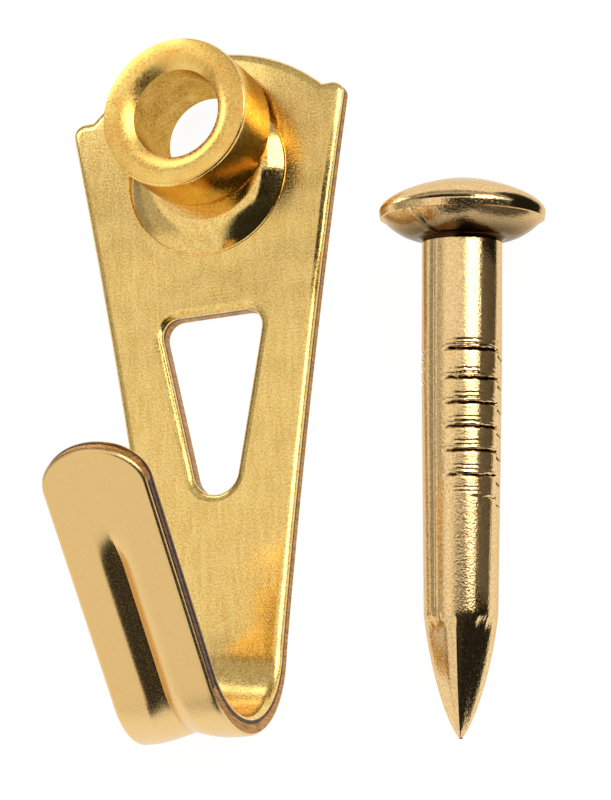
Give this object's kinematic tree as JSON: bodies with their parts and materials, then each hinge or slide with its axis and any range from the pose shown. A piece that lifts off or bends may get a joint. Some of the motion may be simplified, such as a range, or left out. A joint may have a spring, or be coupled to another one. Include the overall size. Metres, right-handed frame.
{
  "type": "brick hanger",
  "caption": "Picture hanger for brick walls: a stamped hook plate with a riveted guide bush, and a loose domed-head masonry nail beside it.",
  "frame": {"origin": "on the plate's wall face, on its centre line, on the solid web between the bush and the window", "axes": "+X across the plate, +Y up the plate from the hook to the bush, +Z away from the wall"},
  "size_m": [0.0248, 0.0347, 0.0154],
  "materials": {
    "sheet": "brass-plated sheet, satin",
    "turned": "turned brass, satin",
    "wire": "brass-plated wire, bright"
  },
  "bodies": {
    "hanger": {"hook_plate": "sheet", "guide_bush": "turned"},
    "loose_nail": {"nail": "wire"}
  },
  "joints": [
    {"name": "nail_lift", "type": "slide", "parent": "hanger", "child": "loose_nail", "axis": [0, 0, 1], "range_m": [0, 0.06]}
  ]
}
